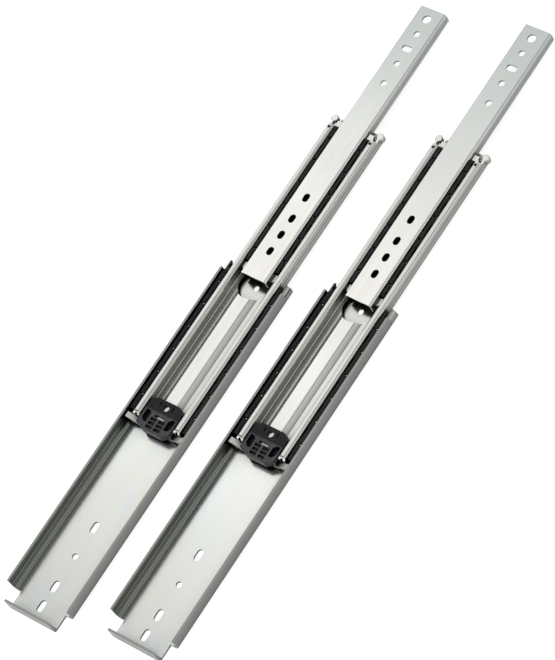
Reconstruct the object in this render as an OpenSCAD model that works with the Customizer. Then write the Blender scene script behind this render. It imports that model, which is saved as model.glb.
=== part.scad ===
// Pair of full-extension ball-bearing drawer slides, lying on their cabinet faces and pulled right out.
// Each slide has an outer (cabinet) member, an intermediate member and an inner (drawer) member,
// with two rows of caged balls between each two members and a plastic stop block.
// X runs along the travel, Y across the slide, Z away from the cabinet wall.
// The origin is under the middle of the pair's box, on the face that the outer members rest on.

/* [Width and depth] */
// Width across the outer member
outer_w = 76.2; // [74:0.1:84]
// Depth from the cabinet face to the drawer face
slide_depth = 19.1; // [19.1:0.1:21]
// Height of the outer member's rims
rim_h = 17.7; // [17.3:0.1:18.2]
// Height of the intermediate member's folded flanges
lip_h = 18.2; // [18:0.1:18.6]
// Width over a folded flange of the intermediate member
fold_w = 7.8; // [7.4:0.1:8]

/* [Sheet steel] */
// Thickness of the outer member
outer_t = 2.4; // [2:0.1:2.6]
// Thickness of the intermediate member
mid_t = 2.2; // [2:0.1:2.4]
// Thickness of the inner member
inner_t = 2; // [1.6:0.1:2.4]
// Outside bend radius between the outer member's web and flanges
outer_bend = 6.8; // [5:0.1:7]
// Outside bend radius along the inner member's edges
inner_bend = 3.4; // [3:0.1:4]

/* [Lengths] */
// Length of the outer member's flanges
outer_len = 377; // [340:0.5:450]
// Length of the intermediate member's flanges
mid_len = 363.5; // [335:0.5:375]
// Length of the inner member
inner_len = 324.8; // [315:0.1:330]
// Travel of the intermediate member out of the outer member
mid_travel = 179; // [150:0.5:182]
// Travel of the inner member out of the intermediate member
inner_travel = 137.3; // [120:0.1:143]

/* [Ball rows] */
// Diameter of the balls between the outer and intermediate members
outer_ball_d = 7.14; // [6.9:0.01:7.2]
// Diameter of the balls between the intermediate and inner members
inner_ball_d = 5.56; // [5.4:0.01:5.7]
// Running clearance between a ball and its raceways and pocket
ball_gap = 0.3; // [0.2:0.05:0.4]
// Depth of the rolled raceway in the outer member's flange
outer_race = 0.47; // [0.4:0.01:0.8]
// Depth of the rolled raceways in the intermediate member's folded flanges
mid_race = 0.4; // [0.3:0.01:0.6]
// Depth of the rolled raceway in the inner member's flange
inner_race = 0.34; // [0.3:0.01:0.6]
// Balls in each row
ball_count = 6; // [4:1:6]
// Distance from one ball to the next
ball_pitch = 26.5; // [20:0.5:27]
// Length of an outer cage strip
outer_cage_len = 167.5; // [162:0.5:169]
// Length of an inner cage strip
inner_cage_len = 160; // [155:1:160]

/* [End stops] */
// Length over which the outer rims are cut back at the front
outer_cutback = 11; // [10:0.5:16]
// Length over which the intermediate lips are cut back at the front
mid_cutback = 12; // [10:0.5:16]
// How far the outer member's front stop tongues curve inwards
tongue_lean = 4.4; // [3:0.1:4.8]
// Radius of the intermediate member's tightly rolled front barrels
mid_curl = 3.9; // [3.6:0.1:4.2]
// Length over which the intermediate lips are cut back at the rear
rear_cutback = 10; // [8:0.5:12]
// Distance from the flanges' rear end to the rear face of the stop tab
tab_setback = 18.5; // [14:0.5:22]
// Width of the stop tab and of the narrowed web before it
tab_w = 55.6; // [50:0.1:60]
// Height of the stop tab
tab_h = 17.5; // [12:0.5:19]

/* [Cabinet screw holes] */
// Diameter of the round cabinet holes and width of the slots
cab_hole_d = 6.4; // [5:0.1:7]
// Length of the cabinet slots
cab_slot_len = 12.5; // [9:0.5:14]
// First slot, from the flanges' rear end
cab_hole_1 = -3.2; // [-4:0.1:0]
// Second slot
cab_hole_2 = 19; // [14:0.5:24]
// Round hole
cab_hole_3 = 53; // [40:0.5:62]
// Third slot
cab_hole_4 = 86; // [78:0.5:110]
// Front round hole, back from the front end
cab_front_hole = 12; // [10:0.5:20]

/* [Drawer screw holes] */
// Large front hole diameter
front_hole_d = 9; // [7:0.1:11]
// Small front hole diameter and slot width
drawer_hole_d = 6.5; // [5:0.1:7]
// Length of the cross slot
cross_slot_len = 11.5; // [8:0.5:14]
// Length of the rear slots
drawer_slot_len = 9.5; // [8:0.5:13]
// Large front hole, back from the front end
front_hole_1 = 12; // [9:0.5:16]
// Spacing of the front holes
front_pitch = 18.2; // [15:0.1:20]
// Last front hole, back from the one before
front_hole_5 = 24; // [15:0.5:40]
// First rear slot, from the rear end
rear_slot_1 = 31; // [26:0.5:36]
// Spacing of the first three rear slots
rear_pitch = 19.4; // [16:0.1:22]
// Last rear slot, from the one before
rear_slot_4 = 25; // [18:0.5:40]

/* [Intermediate member] */
// Half width of the raised rib's flat top
rib_half = 5.9; // [5:0.1:6.5]
// Height of the raised rib above the cabinet face
rib_h = 12.9; // [11:0.1:13.5]
// Height of the web at the foot of the rib
web_h = 8.2; // [7.8:0.1:8.4]
// How far the web drops from the rib to the folded flange
web_drop = 1.3; // [0.8:0.1:1.5]
// Diameter of the screw access hole
access_d = 34; // [20:0.5:36]
// Diameter of the small hole in each folded flange
lip_hole_d = 3.2; // [2:0.1:4]

/* [Stop block] */
// Length of the plastic stop block
block_len = 34.5; // [32:0.5:36]
// How far the stop block hangs over the intermediate member's rear end
block_overhang = 4; // [2:0.5:5]
// Height of the stop block's top above the cabinet face
block_h = 15.6; // [15:0.1:16.5]
// Half width of the stop block's body
block_half = 19.4; // [18.5:0.1:20]

/* [Pair] */
// Distance between the two slides' middle lines
pair_pitch = 110.9; // [95:0.1:160]
// How far the right slide lies ahead of the left one
pair_stagger = 22.3; // [0:0.1:60]

/* [Hidden] */
$fn = 48;
arc_step = 11.25;
coarse_arc_step = 22.5;
small_bend = 3;
sunk = 0.15;
ridge_half = 1.1;
sight_d = 2.8;
sides = ["left", "right"];
rows = ["upper", "lower"];
pieces = ["outer_member", "intermediate_member", "inner_member", "rear_stop_block"];
row_pieces = ["outer_cage", "outer_balls", "inner_cage", "inner_balls"];

// Places along X, from the rear end of the outer member's flanges
outer_rim_end = outer_len - outer_cutback;
mid_front = outer_len + mid_travel;
mid_rear = mid_front - mid_len;
lip_end = mid_front - mid_cutback;
inner_front = mid_front + inner_travel;
inner_rear = inner_front - inner_len;
cage_room = 0.8;
tongue_slit = 0.4;
nose_len = 4.5;
outer_cage_front = outer_rim_end - cage_room + nose_len;
inner_cage_front = mid_front - 2 * mid_curl - 4.8;
access_x = outer_len - cab_front_hole;

// Places across Y
outer_wall_in = outer_w / 2 - outer_t;
outer_ball_y = outer_wall_in + outer_race - ball_gap - outer_ball_d / 2;
mid_wall_out = outer_ball_y - outer_ball_d / 2 - ball_gap + mid_race;
mid_wall_in = mid_wall_out - fold_w;
inner_ball_y = mid_wall_in + mid_race - ball_gap - inner_ball_d / 2;
inner_wall = inner_ball_y - inner_ball_d / 2 - ball_gap + inner_race;

// Heights
outer_ball_z = 10.4;
inner_ball_z = 11.8;
mid_foot = 5.2;
inner_foot = 8.6;
tongue_h = 13.8;
mid_tongue_h = 14.4;
ear_base = 8.2;
ear_low = 8.4;
ear_h = 15;
ear_len = 5.5;
ear_out = outer_wall_in - 0.8;
ear_top_y = ear_out - 1;

// Position of each slide in the pair
pair_mid_x = (inner_front + pair_stagger - tab_setback) / 2;
function slide_shift(side) = side == "left"
    ? [-pair_mid_x, pair_pitch / 2, 0]
    : [pair_stagger - pair_mid_x, -pair_pitch / 2, 0];

steel = "#c9ccce";
dark_plastic = "#1d1e20";
bright_steel = "#dfe2e4";

function unit(v) = v / norm(v);
function left_of(v) = [-v.y, v.x];

// Points of one bend at b, on the line that lies off to the left of the path a-b-c
function bend(a, b, c, r, off) =
    let (
        d1 = unit(b - a),
        d2 = unit(c - b),
        turn = atan2(cross(d1, d2), d1 * d2),
        s = sign(turn),
        centre = b - d1 * r * tan(abs(turn) / 2) + s * r * left_of(d1),
        start = atan2(-s * left_of(d1).y, -s * left_of(d1).x),
        steps = max(2, round(abs(turn) / (r < small_bend ? coarse_arc_step : arc_step)))
    )
    [for (i = [0:steps])
        centre + (r - s * off) * [cos(start + turn * i / steps), sin(start + turn * i / steps)]];

// The line that lies off to the left of a path of [y, z, bend radius] points
function side_line(path, off) =
    let (
        p = [for (q = path) [q[0], q[1]]],
        last = len(p) - 1
    )
    concat(
        [p[0] + off * left_of(unit(p[1] - p[0]))],
        [for (i = [1:last - 1]) each bend(p[i - 1], p[i], p[i + 1], path[i][2], off)],
        [p[last] + off * left_of(unit(p[last] - p[last - 1]))]);

function reversed(list) = [for (i = [len(list) - 1:-1:0]) list[i]];
function mirrored(path) = [for (q = path) [-q[0], q[1], q[2]]];

// Half of a path given from the edge to the middle, made whole
function both_halves(half) = concat(half, reversed(mirrored(half)));

module sheet_profile(path, t) {
    polygon(concat(side_line(path, t / 2), reversed(side_line(path, -t / 2))));
}

// Extrudes a Y-Z profile along X
module along_x(x0, x1) {
    translate([x0, 0, 0])
        rotate([90, 0, 90])
            linear_extrude(x1 - x0)
                children();
}

module block(x0, x1, y0, y1, z0, z1) {
    translate([x0, y0, z0])
        cube([x1 - x0, y1 - y0, z1 - z0]);
}

// Cut along X for a row of balls, with their running clearance
module raceway(x0, x1, y, z, d) {
    translate([x0, y, z])
        rotate([0, 90, 0])
            cylinder(r = d / 2 + ball_gap, h = x1 - x0);
}

module both_sides() {
    children();
    mirror([0, 1, 0])
        children();
}

module round_hole(x, d) {
    translate([x, 0, -1])
        cylinder(d = d, h = slide_depth + 2);
}

module slot_x(x, d, length) {
    round_hole(x - (length - d) / 2, d);
    round_hole(x + (length - d) / 2, d);
    block(x - (length - d) / 2, x + (length - d) / 2, -d / 2, d / 2, -1, slide_depth + 1);
}

module slot_y(x, d, length) {
    translate([x, 0, 0])
        rotate([0, 0, 90])
            slot_x(0, d, length);
}

outer_half = [
    [outer_w / 2 - outer_t / 2, rim_h, 0],
    [outer_w / 2 - outer_t / 2, outer_t / 2, outer_bend - outer_t / 2]];

fold_bend = (fold_w - mid_t) / 2 - 0.2;
web_half = [
    [mid_wall_in + mid_t / 2, web_h - web_drop - mid_t / 2, 2.4],
    [rib_half + 5.7, web_h - mid_t / 2, 2.5],
    [rib_half + 0.6, rib_h - mid_t / 2, 2]];
channel_half = concat([[mid_wall_in + mid_t / 2, lip_h, 0]], web_half);
mid_half = concat([
    [mid_wall_out - mid_t / 2, mid_foot, 0],
    [mid_wall_out - mid_t / 2, lip_h - mid_t / 2, fold_bend],
    [mid_wall_in + mid_t / 2, lip_h - mid_t / 2, fold_bend]], web_half);

inner_half = [
    [inner_wall - inner_t / 2, inner_foot, 0],
    [inner_wall - inner_t / 2, slide_depth - inner_t / 2, inner_bend - inner_t / 2]];

// Cabinet member: channel with rolled raceways, front stop tongues and a bent-up rear tab
module outer_member() {
    color(steel) {
        difference() {
            along_x(0, outer_len)
                sheet_profile(both_halves(outer_half), outer_t);
            both_sides() {
                raceway(-1, outer_len + 1, outer_ball_y, outer_ball_z, outer_ball_d);
                block(outer_rim_end, outer_len + 1, 0, outer_w, outer_bend, rim_h + 1);
            }
            cabinet_holes();
        }
        both_sides()
            along_x(outer_rim_end + tongue_slit, outer_len)
                tongue_profile();
        difference() {
            translate([-tab_setback, tab_w / 2, 0])
                rotate([90, 0, 0])
                    linear_extrude(tab_w)
                        tab_profile();
            cabinet_holes();
        }
    }
}

// A front stop tongue seen from the front: the stub of the flange, curved inwards over an arc
module tongue_profile() {
    rise = tongue_h - outer_bend;
    r = (pow(tongue_lean, 2) + pow(rise, 2)) / (2 * tongue_lean);
    turn = 2 * atan(tongue_lean / rise);
    foot = outer_bend - 0.5;
    steps = 6;
    centre = [outer_w / 2 - r, outer_bend];
    polygon(concat(
        [[outer_w / 2 - outer_t, foot], [outer_w / 2, foot]],
        [for (i = [0:steps]) centre + r * [cos(turn * i / steps), sin(turn * i / steps)]],
        [for (i = [steps:-1:0])
            centre + (r - outer_t) * [cos(turn * i / steps), sin(turn * i / steps)]]));
}

// The tab seen from the side: web strip, bend and upright
module tab_profile() {
    r = outer_t;
    difference() {
        union() {
            square([outer_t, tab_h]);
            square([tab_setback, outer_t]);
            square([2 * r, 2 * r]);
        }
        difference() {
            translate([-1, -1])
                square([r + 1, r + 1]);
            translate([r, r])
                circle(r = r);
        }
        translate([2 * r, 2 * r])
            circle(r = r);
    }
}

module cabinet_holes() {
    for (x = [cab_hole_1, cab_hole_2, cab_hole_4])
        slot_x(x, cab_hole_d, cab_slot_len);
    round_hole(cab_hole_3, cab_hole_d);
    round_hole(access_x, cab_hole_d);
}

// Middle member: channel with folded flanges and a raised rib, front barrels and rear stop ears
module intermediate_member() {
    barrel_x = mid_front - mid_curl;
    barrel_y = mid_wall_out - mid_t / 2;
    barrel_rear = barrel_x - mid_curl;
    tab_top = mid_tongue_h - 0.2;
    fold_mid = (mid_wall_in + mid_wall_out) / 2;
    color(bright_steel) {
        difference() {
            along_x(mid_rear, mid_front)
                sheet_profile(both_halves(mid_half), mid_t);
            both_sides() {
                raceway(mid_rear - 1, mid_front + 1, outer_ball_y, outer_ball_z, outer_ball_d);
                raceway(mid_rear - 1, mid_front + 1, inner_ball_y, inner_ball_z, inner_ball_d);
                block(lip_end, mid_front + 1, mid_wall_in - 1, outer_w, mid_tongue_h, slide_depth);
                block(barrel_rear - 1, mid_front + 1, mid_wall_in - 1, fold_mid, ear_base, slide_depth);
                block(barrel_rear + mid_t / 2, mid_front + 1,
                    mid_wall_in - 1, outer_w, ear_base, slide_depth);
                rear_end_cut();
                translate([lip_end - 4, fold_mid, lip_h - mid_t - 1])
                    cylinder(d = lip_hole_d, h = slide_depth);
            }
            translate([access_x, 0, 0])
                cylinder(d = access_d, h = slide_depth);
        }
        both_sides() {
            translate([barrel_x, barrel_y, ear_base - sunk])
                barrel(mid_curl, tab_top - ear_base + sunk);
            block(lip_end + 0.6, barrel_rear + mid_t, inner_wall + 0.6, mid_wall_in + mid_t / 2,
                inner_ball_z, tab_top);
            along_x(mid_rear, mid_rear + ear_len)
                polygon([[mid_wall_in + 0.5, ear_z(mid_wall_in + 0.5) - mid_t - sunk],
                    [ear_out, ear_z(ear_out) - mid_t - sunk], [ear_out, ear_h - 1.2],
                    [ear_top_y, ear_h - sunk], [mid_wall_in + 0.5, ear_z(mid_wall_in + 0.5) - sunk]]);
        }
    }
}

// Tightly rolled end of the fold, with its upper edge broken
module barrel(r, h) {
    edge = 0.7;
    rotate_extrude()
        polygon([[0, 0], [r, 0], [r, h - edge], [r - edge, h], [0, h]]);
}

// Height of the stop ear, which rises from the channel out to the outer member's flange
function ear_z(y) = ear_low + (y - mid_wall_in) * (ear_h - ear_low) / (ear_top_y - mid_wall_in);

// What is taken off a fold's rear end: all above the sloping ear, and the lip's end, rounded off
module rear_end_cut() {
    x0 = mid_rear - 1;
    x1 = mid_rear + rear_cutback;
    translate([0, outer_w, 0])
        rotate([90, 0, 0])
            linear_extrude(outer_w - mid_wall_in + 1)
                polygon([[x0, ear_h], [x1 - 4, ear_h], [x1 - 1.5, ear_h + 1.4], [x1, slide_depth],
                    [x0, slide_depth]]);
    along_x(x0, mid_rear + ear_len + 0.5)
        polygon([[mid_wall_in - 1, ear_z(mid_wall_in - 1)], [ear_top_y, ear_h],
            [ear_top_y, ear_h + 1], [mid_wall_in - 1, ear_h + 1]]);
}

// Drawer member: shallow channel facing the cabinet, with retainer stops lanced out of its flanges
module inner_member() {
    lance_x = inner_rear + 5;
    lance_out = mid_wall_in - 0.7 - inner_wall + inner_t / 2;
    color(bright_steel) {
        difference() {
            along_x(inner_rear, inner_front)
                sheet_profile(both_halves(inner_half), inner_t);
            both_sides()
                raceway(inner_rear - 1, inner_front + 1, inner_ball_y, inner_ball_z, inner_ball_d);
            drawer_holes();
        }
        both_sides()
            translate([lance_x, inner_wall - inner_t / 2, inner_foot])
                linear_extrude(inner_ball_z - inner_foot + 1)
                    polygon([[0, 0], [8.5, 0], [8.5, lance_out], [3, lance_out], [0, lance_out - 3]]);
    }
}

module drawer_holes() {
    round_hole(inner_front - front_hole_1, front_hole_d);
    round_hole(inner_front - front_hole_1 - front_pitch, drawer_hole_d);
    slot_y(inner_front - front_hole_1 - 2 * front_pitch, drawer_hole_d, cross_slot_len);
    round_hole(inner_front - front_hole_1 - 3 * front_pitch, drawer_hole_d);
    round_hole(inner_front - front_hole_1 - 3 * front_pitch - front_hole_5, drawer_hole_d);
    for (i = [0:2])
        slot_x(inner_rear + rear_slot_1 + i * rear_pitch, drawer_hole_d, drawer_slot_len);
    slot_x(inner_rear + rear_slot_1 + 2 * rear_pitch + rear_slot_4, drawer_hole_d, drawer_slot_len);
}

// Plastic block seated in the channel over the rib and hooked over its rear end,
// which stops the inner member as the slide closes
module rear_stop_block() {
    x0 = mid_rear - block_overhang;
    x1 = x0 + block_len;
    play = 0.1;
    pocket_z = block_h - 1.9;
    color(dark_plastic)
        difference() {
            intersection() {
                union() {
                    linear_extrude(block_h)
                        polygon([[x0, -block_half + 8], [x0 + 6, -block_half], [x1 - 6, -block_half],
                            [x1 - 1.5, -block_half + 3.5], [x1, -block_half + 7], [x1, block_half - 7],
                            [x1 - 1.5, block_half - 3.5], [x1 - 6, block_half], [x0 + 6, block_half],
                            [x0, block_half - 8]]);
                    block(x0 + 4.5, x1 - 8, -outer_w / 2, outer_w / 2, 0, block_h - 1.2);
                }
                union() {
                    along_x(mid_rear - 2 * play, x1 + 1)
                        polygon(side_line(both_halves(channel_half), -mid_t / 2 - play));
                    block(x0 - 1, mid_rear - play, -mid_wall_in, mid_wall_in, web_h - web_drop, block_h);
                }
            }
            for (i = [0:2])
                for (s = [-1, 1])
                    block(x0 + 2.6 + 4.3 * i, x0 + 5.8 + 4.3 * i, s * 4.8 - 3.6, s * 4.8 + 3.6,
                        pocket_z, block_h + 1);
            both_sides() {
                translate([0, 0, block_h - 4.2])
                    linear_extrude(5)
                        polygon([[x0 + 7.5, 10.6], [x0 + 17, 10.6], [x0 + 20, 13.5], [x0 + 20, 17.4],
                            [x0 + 11, 17.4], [x0 + 7.5, 14.5]]);
                block(x0 + 26.4, x0 + 32.4, 6.7, 8.3, pocket_z, block_h + 1);
            }
            translate([x0 + 16.7, 0, rib_h - 1])
                slot_hole(2.8, 11.5);
            translate([x0 + 27.8, 0, rib_h - 1])
                cylinder(d = 7.2, h = slide_depth);
        }
}

// Cross slot of the stop block, centred on the origin
module slot_hole(width, length) {
    for (s = [-1, 1])
        translate([0, s * (length - width) / 2, 0])
            cylinder(d = width, h = slide_depth);
    block(-width / 2, width / 2, -(length - width) / 2, (length - width) / 2, 0, slide_depth);
}

function ball_x(front, length, i) = front - length / 2 + (i - (ball_count - 1) / 2) * ball_pitch;

module ball_row(front, length, y, z, d) {
    color("silver")
        for (i = [0:ball_count - 1])
            translate([ball_x(front, length, i), y, z])
                sphere(d = d);
}

// Row of pockets across a cage strip, with a small sight hole over each ball
module pocket_row(front, length, y, z, d) {
    for (i = [0:ball_count - 1])
        translate([ball_x(front, length, i), y, z]) {
            rotate([90, 0, 0])
                cylinder(r = d / 2 + ball_gap, h = 2 * d, center = true);
            cylinder(d = sight_d, h = slide_depth);
        }
}

// Cage strip: a body between the raceways, a thin plate that is wider over each ball, a ridge on top,
// and a narrow nose in front of them
module cage(front, length, nose, y, z, d, body_half, plate_in, plate_out, bottom, top) {
    side = sign(y);
    notch = 0.7;
    nose_w = 2.2;
    plate_t = 1.2;
    ridge_h = 0.6;
    plate_top = top - ridge_h;
    pad_half = 8.5;
    rear = front - length;
    shoulder = front - nose;
    color(dark_plastic)
        difference() {
            union() {
                side_block(side, rear, shoulder, abs(y) - body_half, abs(y) + body_half,
                    bottom, plate_top - plate_t / 2);
                side_block(side, rear, shoulder, plate_in + notch, plate_out - notch,
                    plate_top - plate_t, plate_top);
                side_block(side, rear, front, plate_in + notch, plate_in + notch + nose_w,
                    plate_top - plate_t + 0.1, plate_top);
                side_block(side, rear + 2, shoulder - 2, abs(y) - ridge_half, abs(y) + ridge_half,
                    plate_top - plate_t / 2, top);
                for (i = [0:ball_count - 1])
                    let (x = ball_x(front, length, i))
                        side_block(side, x - pad_half, x + pad_half, plate_in, plate_out,
                            plate_top - plate_t + 0.2, plate_top - 0.2);
            }
            pocket_row(front, length, y, z, d);
        }
}

// A block on the +Y side, or its mirror image on the -Y side
module side_block(side, x0, x1, y0, y1, z0, z1) {
    block(x0, x1, min(side * y0, side * y1), max(side * y0, side * y1), z0, z1);
}

// Black strip that carries the balls between the outer and intermediate members
module outer_cage(y_side) {
    cage(outer_cage_front, outer_cage_len, nose_len, y_side * outer_ball_y, outer_ball_z, outer_ball_d, 2,
        mid_wall_out + 0.5, outer_wall_in - 0.5, outer_ball_z - outer_ball_d / 2 - 1.2, rim_h - 1.9);
}

// Black strip that carries the balls between the intermediate and inner members
module inner_cage(y_side) {
    cage(inner_cage_front, inner_cage_len, 0, y_side * inner_ball_y, inner_ball_z, inner_ball_d, 1.6,
        inner_wall + 0.4, mid_wall_in - 0.35, web_h + 0.4, lip_h - 1.3);
}

module row_piece(kind, y_side) {
    if (kind == "outer_cage") outer_cage(y_side);
    if (kind == "inner_cage") inner_cage(y_side);
    if (kind == "outer_balls")
        ball_row(outer_cage_front, outer_cage_len, y_side * outer_ball_y, outer_ball_z, outer_ball_d);
    if (kind == "inner_balls")
        ball_row(inner_cage_front, inner_cage_len, y_side * inner_ball_y, inner_ball_z, inner_ball_d);
}

for (s = sides) {
    at = slide_shift(s);
    translate(at) outer_member();
    translate(at) intermediate_member();
    translate(at) inner_member();
    translate(at) rear_stop_block();
    for (kind = row_pieces)
        for (r = rows)
            translate(at) row_piece(kind, r == "upper" ? 1 : -1);
}
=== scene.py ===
import math

import bpy
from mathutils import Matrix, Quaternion, Vector


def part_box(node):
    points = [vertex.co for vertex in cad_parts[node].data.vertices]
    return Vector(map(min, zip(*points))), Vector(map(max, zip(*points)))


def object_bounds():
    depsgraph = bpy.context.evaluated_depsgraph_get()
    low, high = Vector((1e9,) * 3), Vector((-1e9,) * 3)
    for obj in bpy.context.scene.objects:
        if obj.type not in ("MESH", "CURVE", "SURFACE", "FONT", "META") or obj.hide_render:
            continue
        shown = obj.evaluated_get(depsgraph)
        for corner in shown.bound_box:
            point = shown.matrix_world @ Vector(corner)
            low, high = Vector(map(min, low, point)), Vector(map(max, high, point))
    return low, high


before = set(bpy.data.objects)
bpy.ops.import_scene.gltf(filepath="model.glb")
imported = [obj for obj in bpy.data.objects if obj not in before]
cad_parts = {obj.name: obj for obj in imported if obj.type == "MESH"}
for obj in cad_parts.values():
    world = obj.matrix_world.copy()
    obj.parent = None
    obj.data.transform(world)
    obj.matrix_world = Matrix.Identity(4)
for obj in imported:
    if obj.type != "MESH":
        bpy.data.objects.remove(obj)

# Metres, in the frame of the CAD: +X towards the drawer front, +Y to the left slide, +Z away from the cabinet wall.
MM = 0.001
SIDES = ("left", "right")
cad_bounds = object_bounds()

# ---------------------------------------------------------------- camera
CAMERA_TARGET = Vector((-0.0113, 0.0110, 0))
CAMERA_DISTANCE = 3.408
CAMERA_AZIMUTH = math.radians(-25.9)
CAMERA_ELEVATION = math.radians(55.43)
CAMERA_ROLL = math.radians(-34.33)
CAMERA_LENS_MM = 196.4
CAMERA_CLIP_END = 20


def make_camera():
    """The camera stands on the right of the slides, towards their rear ends, and is rolled clockwise."""
    data = bpy.data.cameras.new("camera")
    data.lens = CAMERA_LENS_MM
    data.clip_end = CAMERA_CLIP_END
    camera = bpy.data.objects.new("camera", data)
    bpy.context.scene.collection.objects.link(camera)
    level = math.cos(CAMERA_ELEVATION)
    back = Vector((math.sin(CAMERA_AZIMUTH) * level, -math.cos(CAMERA_AZIMUTH) * level,
                   math.sin(CAMERA_ELEVATION)))
    camera.location = CAMERA_TARGET + back * CAMERA_DISTANCE
    camera.rotation_mode = "QUATERNION"
    camera.rotation_quaternion = (-back).to_track_quat("-Z", "Y") @ Quaternion((0, 0, 1), CAMERA_ROLL)
    bpy.context.scene.camera = camera


make_camera()


# ---------------------------------------------------------------- node helpers
class Tree:
    """Short calls for building a node tree. A socket takes either a number or colour, or another node's output."""

    def __init__(self, tree):
        self.tree = tree
        tree.nodes.clear()

    def add(self, kind, **values):
        node = self.tree.nodes.new("ShaderNode" + kind)
        for key, value in values.items():
            setattr(node, key, value)
        return node

    def link(self, a, b):
        self.tree.links.new(a, b)

    def feed(self, socket, value):
        if isinstance(value, (int, float, tuple)):
            socket.default_value = value
        else:
            self.link(value, socket)

    def math(self, operation, a, b=0.0):
        node = self.add("Math", operation=operation)
        self.feed(node.inputs[0], a)
        self.feed(node.inputs[1], b)
        return node.outputs[0]

    def remap(self, value, low, high, to_low, to_high):
        """Straight line from to_low at low to to_high at high, level beyond both."""
        node = self.add("MapRange")
        node.clamp = True
        self.link(value, node.inputs["Value"])
        for name, number in (("From Min", low), ("From Max", high), ("To Min", to_low), ("To Max", to_high)):
            node.inputs[name].default_value = number
        return node.outputs["Result"]

    def mix(self, factor, a, b, blend="MIX"):
        node = self.add("Mix", data_type="RGBA", blend_type=blend)
        self.feed(node.inputs[0], factor)
        self.feed(node.inputs[6], a)
        self.feed(node.inputs[7], b)
        return node.outputs[2]

    def axes(self, vector):
        node = self.add("SeparateXYZ")
        self.link(vector, node.inputs[0])
        return node.outputs

    def place(self):
        """Object coordinates, which are the CAD frame's, in metres."""
        return self.add("TexCoord").outputs["Object"]

    def noise(self, waves, detail=4.0, rough=0.55):
        """Noise with so many waves per metre along X, Y and Z."""
        mapping = self.add("Mapping")
        mapping.inputs["Scale"].default_value = waves
        self.link(self.place(), mapping.inputs["Vector"])
        node = self.add("TexNoise")
        self.link(mapping.outputs["Vector"], node.inputs["Vector"])
        node.inputs["Scale"].default_value = 1.0
        node.inputs["Detail"].default_value = detail
        node.inputs["Roughness"].default_value = rough
        return node.outputs["Fac"]

    def grey(self, value):
        shade = self.add("CombineColor")
        for socket in shade.inputs[:3]:
            self.link(value, socket)
        return shade.outputs["Color"]

    def ramp(self, value, stops):
        node = self.add("ValToRGB")
        elements = node.color_ramp.elements
        while len(elements) < len(stops):
            elements.new(0.5)
        for element, (position, color) in zip(elements, stops):
            element.position = position
            element.color = (*color, 1)
        self.link(value, node.inputs["Fac"])
        return node.outputs["Color"]

    def edges(self, radius):
        """1 along sharp edges, 0 on flats."""
        bevel = self.add("Bevel", samples=4)
        bevel.inputs["Radius"].default_value = radius
        dot = self.add("VectorMath", operation="DOT_PRODUCT")
        self.link(bevel.outputs["Normal"], dot.inputs[0])
        self.link(self.add("NewGeometry").outputs["Normal"], dot.inputs[1])
        return self.remap(dot.outputs["Value"], 0.80, 0.99, 1.0, 0.0)

    def openness(self, distance):
        """1 in the open, towards 0 in corners and under other pieces."""
        node = self.add("AmbientOcclusion", samples=6)
        node.inputs["Distance"].default_value = distance
        return node.outputs["AO"]

    def seen_in_gloss(self, path):
        """1 for rays that a glossy or clear surface sends on."""
        return self.math("MAXIMUM", path.outputs["Is Glossy Ray"], path.outputs["Is Transmission Ray"])

    def output(self, kind, surface):
        self.link(surface, self.add(kind).inputs["Surface"])


def new_material(name):
    material = bpy.data.materials.new(name)
    material.use_nodes = True
    return material, Tree(material.node_tree)


def finish_material(t, color, roughness, height, strength, distance=0.0001, metallic=0.0, **fixed):
    """Principled shader with bump, whose constants are set on its own sockets."""
    bump = t.add("Bump")
    bump.inputs["Strength"].default_value = strength
    bump.inputs["Distance"].default_value = distance
    t.link(height, bump.inputs["Height"])
    shader = t.add("BsdfPrincipled")
    shader.inputs["Metallic"].default_value = metallic
    for key, value in fixed.items():
        shader.inputs[key.replace("_", " ")].default_value = value
    t.link(color, shader.inputs["Base Color"])
    t.link(roughness, shader.inputs["Roughness"])
    t.link(bump.outputs["Normal"], shader.inputs["Normal"])
    t.output("OutputMaterial", shader.outputs["BSDF"])


# ---------------------------------------------------------------- zinc plate
# Colours here and below are linear
COOL_TINTS = [
    (0.00, (0.800, 0.845, 0.850)), (0.30, (0.825, 0.842, 0.815)), (0.50, (0.856, 0.838, 0.828)),
    (0.68, (0.850, 0.850, 0.795)), (0.84, (0.800, 0.835, 0.872)), (1.00, (0.825, 0.855, 0.825))]
WARM_TINTS = [
    (0.00, (0.830, 0.822, 0.798)), (0.35, (0.852, 0.825, 0.800)), (0.60, (0.836, 0.826, 0.803)),
    (0.80, (0.856, 0.826, 0.796)), (1.00, (0.832, 0.824, 0.804))]
COOL_PLATE = (0.680, 0.715, 0.695, 1)
SPECK = (0.52, 0.53, 0.53, 1)
RUBBED_EDGE = (0.93, 0.935, 0.93, 1)
# Painted shade on the faces that look down
UNDERSIDE_SHADE = (0.07, 0.073, 0.066, 1)
# Painted shade on the channel walls
WALL_SHADE = (0.100, 0.112, 0.090, 1)
# Painted shade in corners and under other pieces
CORNER_SHADE = (0.085, 0.092, 0.074, 1)
CUT_EDGE = (0.36, 0.365, 0.35, 1)
# A wall's distance from the slide's middle line, times the Y of its normal: the painted wall shade starts at one
# and is full at the other, so flat webs have none
WALL_SHADE_START = 0.5 * MM
WALL_SHADE_FULL = 4.0 * MM
# Waves per metre along X, Y and Z
CLOUD_WAVES = (7, 17, 17)
STREAK_WAVES = (10, 1600, 1600)
BROAD_WAVES = (3, 150, 150)
SPECK_WAVES = (900, 900, 900)
EDGE_WIDTH = 0.6 * MM
CORNER_REACH = 30 * MM


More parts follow.
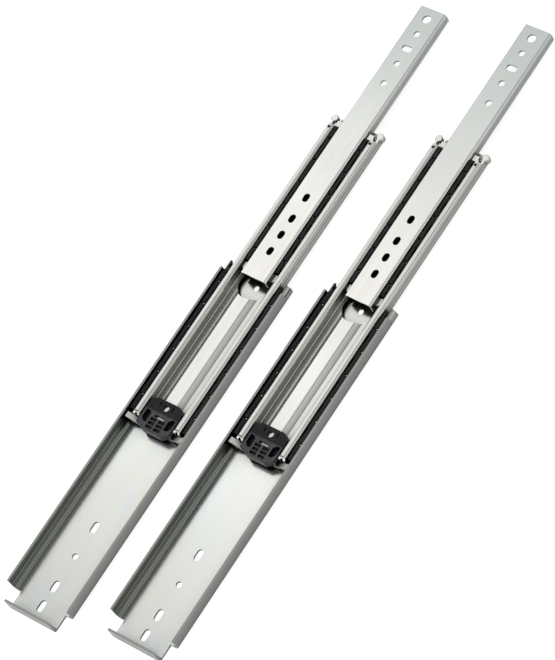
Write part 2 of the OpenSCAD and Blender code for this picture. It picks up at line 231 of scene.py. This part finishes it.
def zinc_plate(name, middle_y, tints, rough, inside, outside, cut_z=None, cool_end=None, matt_end=None):
    """Rolled steel sheet with bright zinc plate: faint rainbow tints, rolling streaks along X, rubbed bright edges,
    painted shade on the faces that look down and painted shade in the corners and under other pieces. Walls carry
    painted shade, as strong as inside on faces towards the slide's middle line and as outside on faces away from it.
    Cut edges above cut_z are duller, the plate turns cooler between the two X of cool_end, and behind matt_end it is
    matt and has no painted wall shade."""
    material, t = new_material(name)
    normal = t.axes(t.add("NewGeometry").outputs["Normal"])
    place = t.axes(t.place())
    cloud = t.noise(CLOUD_WAVES, detail=3)
    streak = t.noise(STREAK_WAVES, detail=5, rough=0.6)
    broad = t.noise(BROAD_WAVES, detail=3)
    edge = t.edges(EDGE_WIDTH)

    color = t.ramp(t.remap(cloud, 0.3, 0.7, 0, 1), tints)
    if cool_end is not None:
        color = t.mix(t.remap(place["X"], *cool_end, 0, 1), color, COOL_PLATE)
    light = t.remap(t.math("ADD", t.math("MULTIPLY", streak, 0.6), t.math("MULTIPLY", broad, 0.4)),
                    0.35, 0.65, 0.96, 1.0)
    color = t.mix(1.0, color, t.grey(light), "MULTIPLY")
    speck = t.remap(t.noise(SPECK_WAVES, detail=2), 0.68, 0.78, 0, 0.25)
    color = t.mix(speck, color, SPECK)
    color = t.mix(t.math("MULTIPLY", edge, 0.5), color, RUBBED_EDGE)

    roughness = t.math("ADD", t.remap(streak, 0.3, 0.7, rough - 0.03, rough + 0.03),
                       t.remap(cloud, 0.35, 0.65, -0.02, 0.03))
    roughness = t.math("SUBTRACT", roughness, t.math("MULTIPLY", edge, 0.06))

    # Painted shade: faces that look down turn near black
    color = t.mix(t.remap(normal["Z"], -0.02, -0.18, 0, 0.90), color, UNDERSIDE_SHADE)
    # Painted shade on the walls, stronger inside the channel than outside; none on flat webs
    outward = t.math("MULTIPLY", t.math("SUBTRACT", place["Y"], middle_y), normal["Y"])
    film_and_wall_shade = t.math("MAXIMUM", t.remap(outward, -WALL_SHADE_FULL, -WALL_SHADE_START, inside, 0),
                  t.remap(outward, WALL_SHADE_START, WALL_SHADE_FULL, 0, outside))
    if matt_end is not None:
        kept = t.remap(place["X"], matt_end, matt_end + 1 * MM, 0, 1)
        film_and_wall_shade = t.math("MULTIPLY", film_and_wall_shade, kept)
        roughness = t.math("ADD", roughness, t.remap(kept, 0, 1, 0.35, 0))
    color = t.mix(film_and_wall_shade, color, WALL_SHADE)
    # Painted shade from ambient occlusion in corners and under other pieces
    color = t.mix(t.remap(t.openness(CORNER_REACH), 0.20, 0.78, 0.90, 0), color, CORNER_SHADE)
    if cut_z is not None:
        cut = t.math("MULTIPLY", t.math("GREATER_THAN", place["Z"], cut_z), t.remap(normal["Z"], 0.3, 0.8, 0, 1))
        color = t.mix(cut, color, CUT_EDGE)
        roughness = t.math("ADD", roughness, t.math("MULTIPLY", cut, 0.15))

    height = t.math("ADD", t.math("MULTIPLY", streak, 0.5), t.math("MULTIPLY", broad, 0.9))
    finish_material(t, color, roughness, height, strength=0.05, distance=0.00012, metallic=1.0)
    return material


# ---------------------------------------------------------------- plastic and balls
DUST = (0.05, 0.052, 0.055, 1)
DARK_PLASTIC = (0.006, 0.006, 0.009, 1)
# Painted shade in pockets and recesses
POCKET_SHADE = (0.001, 0.001, 0.002, 1)
WORN_PLASTIC = (0.105, 0.100, 0.125, 1)
GRAIN_WAVES = (2600, 2600, 2600)
FLOW_WAVES = (60, 240, 240)
DUST_WAVES = (240, 240, 240)
GREASE_WAVES = (320, 320, 320)
POCKET_REACH = 8 * MM


def black_plastic(name, tone, rough, worn, dark_x=None):
    """Moulded black plastic with a fine spark-eroded grain, painted shade that turns pockets near black, paler rubbed
    edges as wide as worn, a little dust, and a darker part in front of dark_x."""
    material, t = new_material(name)
    grain = t.noise(GRAIN_WAVES, detail=3)
    flow = t.noise(FLOW_WAVES, detail=4)
    dust = t.remap(t.noise(DUST_WAVES, detail=6, rough=0.7), 0.56, 0.74, 0, 0.35)
    color = t.ramp(t.remap(flow, 0.3, 0.7, 0, 1), [
        (0.0, (tone * 0.75, tone * 0.76, tone * 0.80)), (1.0, (tone * 1.3, tone * 1.33, tone * 1.42))])
    color = t.mix(dust, color, DUST)
    if dark_x is not None:
        x = t.axes(t.place())["X"]
        color = t.mix(t.remap(x, dark_x, dark_x + 2 * MM, 0, 0.8), color, DARK_PLASTIC)
    # Painted shade from ambient occlusion turns pockets and recesses near black
    color = t.mix(t.remap(t.openness(POCKET_REACH), 0.60, 0.97, 1.0, 0), color, POCKET_SHADE)
    color = t.mix(t.math("MULTIPLY", t.edges(worn), 0.5), color, WORN_PLASTIC)
    roughness = t.math("ADD", t.remap(flow, 0.3, 0.7, rough - 0.05, rough + 0.06),
                       t.math("MULTIPLY", dust, 0.4))
    finish_material(t, color, roughness, grain, strength=0.25, distance=0.00006, Specular_IOR_Level=0.14)
    return material


def ball_steel(name):
    """Polished bearing steel with a thin film of grease."""
    material, t = new_material(name)
    film_and_wall_shade = t.noise(GREASE_WAVES, detail=4)
    color = t.ramp(t.remap(film_and_wall_shade, 0.35, 0.65, 0, 1), [(0.0, (0.82, 0.84, 0.86)), (1.0, (0.70, 0.70, 0.68))])
    roughness = t.remap(film_and_wall_shade, 0.35, 0.65, 0.07, 0.22)
    finish_material(t, color, roughness, film_and_wall_shade, strength=0.03, metallic=1.0)
    return material


# ---------------------------------------------------------------- materials of each slide
RIM_Z = cad_bounds[0][2] + 17.2 * MM   # the outer member's cut edges lie above this
EAR_LENGTH = 6 * MM                    # the intermediate member's rear ears end within this of its rear
DARK_SHARE = 0.58                      # the stop block is darker in front of this share of its length
COOL_END = (0.10, 0.32)                # X between which the inner member's plate turns cooler


def slide_materials(side, cage, balls):
    low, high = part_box(f"{side}_outer_member")
    middle_y = (low[1] + high[1]) / 2
    rear_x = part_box(f"{side}_intermediate_member")[0][0]
    block_low, block_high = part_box(f"{side}_rear_stop_block")
    dark_x = block_low[0] + DARK_SHARE * (block_high[0] - block_low[0])
    return {
        "outer_member": zinc_plate(f"zinc_outer_{side}", middle_y, COOL_TINTS, rough=0.20, inside=0.78,
                                   outside=0.50, cut_z=RIM_Z),
        "intermediate_member": zinc_plate(f"zinc_intermediate_{side}", middle_y, WARM_TINTS, rough=0.24,
                                          inside=0.26, outside=0.15, matt_end=rear_x + EAR_LENGTH),
        "inner_member": zinc_plate(f"zinc_inner_{side}", middle_y, WARM_TINTS, rough=0.22, inside=0.80,
                                   outside=0.0, cool_end=COOL_END),
        "rear_stop_block": black_plastic(f"black_block_{side}", tone=0.085, rough=0.36, worn=0.9 * MM,
                                         dark_x=dark_x),
        "cage": cage,
        "balls": balls}


def make_materials():
    """Materials by side and kind of piece. Cages and balls share theirs."""
    cage = black_plastic("black_cage", tone=0.030, rough=0.42, worn=0.4 * MM)
    balls = ball_steel("ball_steel")
    return {side: slide_materials(side, cage, balls) for side in SIDES}


# ---------------------------------------------------------------- CAD nodes
WELD = 0.001 * MM
MEMBER_BEVEL = 0.25 * MM
PLASTIC_BEVEL = 0.2 * MM
FLAT_ANGLE = math.radians(0.5)
BEVEL_ANGLE = math.radians(35)
SPLIT_ANGLE = math.radians(32)


def soften(piece, width):
    """Modifiers that round the sharp edges a little and shade the flats evenly. The node's own mesh isn't touched."""
    weld = piece.modifiers.new("weld", "WELD")
    weld.merge_threshold = WELD
    flat = piece.modifiers.new("flat", "DECIMATE")
    flat.decimate_type = "DISSOLVE"
    flat.angle_limit = FLAT_ANGLE
    bevel = piece.modifiers.new("bevel", "BEVEL")
    bevel.width = width
    bevel.segments = 2
    bevel.limit_method = "ANGLE"
    bevel.angle_limit = BEVEL_ANGLE
    split = piece.modifiers.new("split", "EDGE_SPLIT")
    split.split_angle = SPLIT_ANGLE
    split.use_edge_sharp = False
    even = piece.modifiers.new("even", "WEIGHTED_NORMAL")
    even.mode = "FACE_AREA"
    even.weight = 100


def dress_nodes():
    materials = make_materials()
    for name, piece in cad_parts.items():
        side, key = name.split("_", 1)
        kind = "cage" if "cage" in key else "balls" if "balls" in key else key
        piece.data.materials.clear()
        piece.data.materials.append(materials[side][kind])
        for polygon in piece.data.polygons:
            polygon.use_smooth = True
        if kind != "balls":
            soften(piece, MEMBER_BEVEL if "member" in kind else PLASTIC_BEVEL)


dress_nodes()

# ---------------------------------------------------------------- studio
WHITE = (1, 1, 1, 1)
FLOOR_SIZE = 12
FLOOR_Z = -0.4 * MM
FLOOR_GREY = (0.50, 0.50, 0.50, 1)
FLOOR_SEEN = 0.84        # glow that makes the floor white for the camera, with the lamps' light on it
FLOOR_MIRRORED = 0.24    # its glow in reflections
# The studio in reflections, from -Y, the camera's side (0), over the zenith (0.5) to +Y, the far side (1)
STUDIO_DEPTH = [
    (0.00, (0.85, 0.86, 0.85)), (0.14, (0.85, 0.86, 0.85)), (0.19, (0.28, 0.29, 0.28)),
    (0.27, (0.28, 0.29, 0.28)), (0.32, (0.66, 0.67, 0.66)), (0.50, (0.78, 0.79, 0.78)),
    (0.62, (0.82, 0.83, 0.82))]
# A bright band on the far side: the X of its middle and its half width, the gain in its middle and beside it, and
# the Y between which it comes in
SPOT_X = 0.254
SPOT_HALF_WIDTH = 0.108
SPOT_GAIN, BESIDE_GAIN = 2.15, 0.60
FAR_SIDE_Y = (-0.25, 0.10)
STUDIO_FILL = (0.6, 0.6, 0.6, 1)


def make_floor():
    bpy.ops.mesh.primitive_plane_add(size=FLOOR_SIZE, location=(0, 0, FLOOR_Z))
    floor = bpy.context.object
    floor.name = "floor"
    material, t = new_material("floor_white")
    diffuse = t.add("BsdfDiffuse")
    diffuse.inputs["Color"].default_value = FLOOR_GREY
    glow = t.add("Emission")
    glow.inputs["Color"].default_value = WHITE
    path = t.add("LightPath")
    seen = t.math("MAXIMUM", t.math("MULTIPLY", path.outputs["Is Camera Ray"], FLOOR_SEEN),
                  t.math("MULTIPLY", t.seen_in_gloss(path), FLOOR_MIRRORED))
    t.link(seen, glow.inputs["Strength"])
    both = t.add("AddShader")
    t.link(diffuse.outputs[0], both.inputs[0])
    t.link(glow.outputs[0], both.inputs[1])
    t.output("OutputMaterial", both.outputs[0])
    floor.data.materials.append(material)


def make_world():
    """White for the camera. In reflections it has a dim gap on the camera's side and a bright band on the far one."""
    world = bpy.data.worlds.new("studio")
    bpy.context.scene.world = world
    world.use_nodes = True
    t = Tree(world.node_tree)
    path = t.add("LightPath")
    toward = t.axes(t.add("TexCoord").outputs["Generated"])
    depth = t.ramp(t.remap(toward["Y"], -1, 1, 0, 1), STUDIO_DEPTH)
    off_spot = t.math("ABSOLUTE", t.math("SUBTRACT", toward["X"], SPOT_X))
    spot = t.grey(t.remap(off_spot, 0, SPOT_HALF_WIDTH, SPOT_GAIN, BESIDE_GAIN))
    gain = t.mix(t.remap(toward["Y"], *FAR_SIDE_Y, 0, 1), WHITE, spot)
    mirrored = t.mix(1.0, depth, gain, "MULTIPLY")
    color = t.mix(path.outputs["Is Camera Ray"], t.mix(t.seen_in_gloss(path), STUDIO_FILL, mirrored), WHITE)
    background = t.add("Background")
    background.inputs["Strength"].default_value = 1
    t.link(color, background.inputs["Color"])
    t.output("OutputWorld", background.outputs[0])


def add_lamp(name, place, side, watts):
    """Square area lamp that looks at the origin."""
    data = bpy.data.lights.new(name, "AREA")
    data.shape = "RECTANGLE"
    data.size = data.size_y = side
    data.energy = watts
    lamp = bpy.data.objects.new(name, data)
    lamp.location = place
    lamp.rotation_mode = "QUATERNION"
    lamp.rotation_quaternion = (-Vector(place)).to_track_quat("-Z", "Y")
    bpy.context.scene.collection.objects.link(lamp)


make_floor()
make_world()
add_lamp("key", (-1.7, 1.2, 2.4), side=2.0, watts=9)
add_lamp("fill", (2.2, 0.3, 2.0), side=1.6, watts=3)
bpy.context.scene.view_settings.view_transform = "Standard"
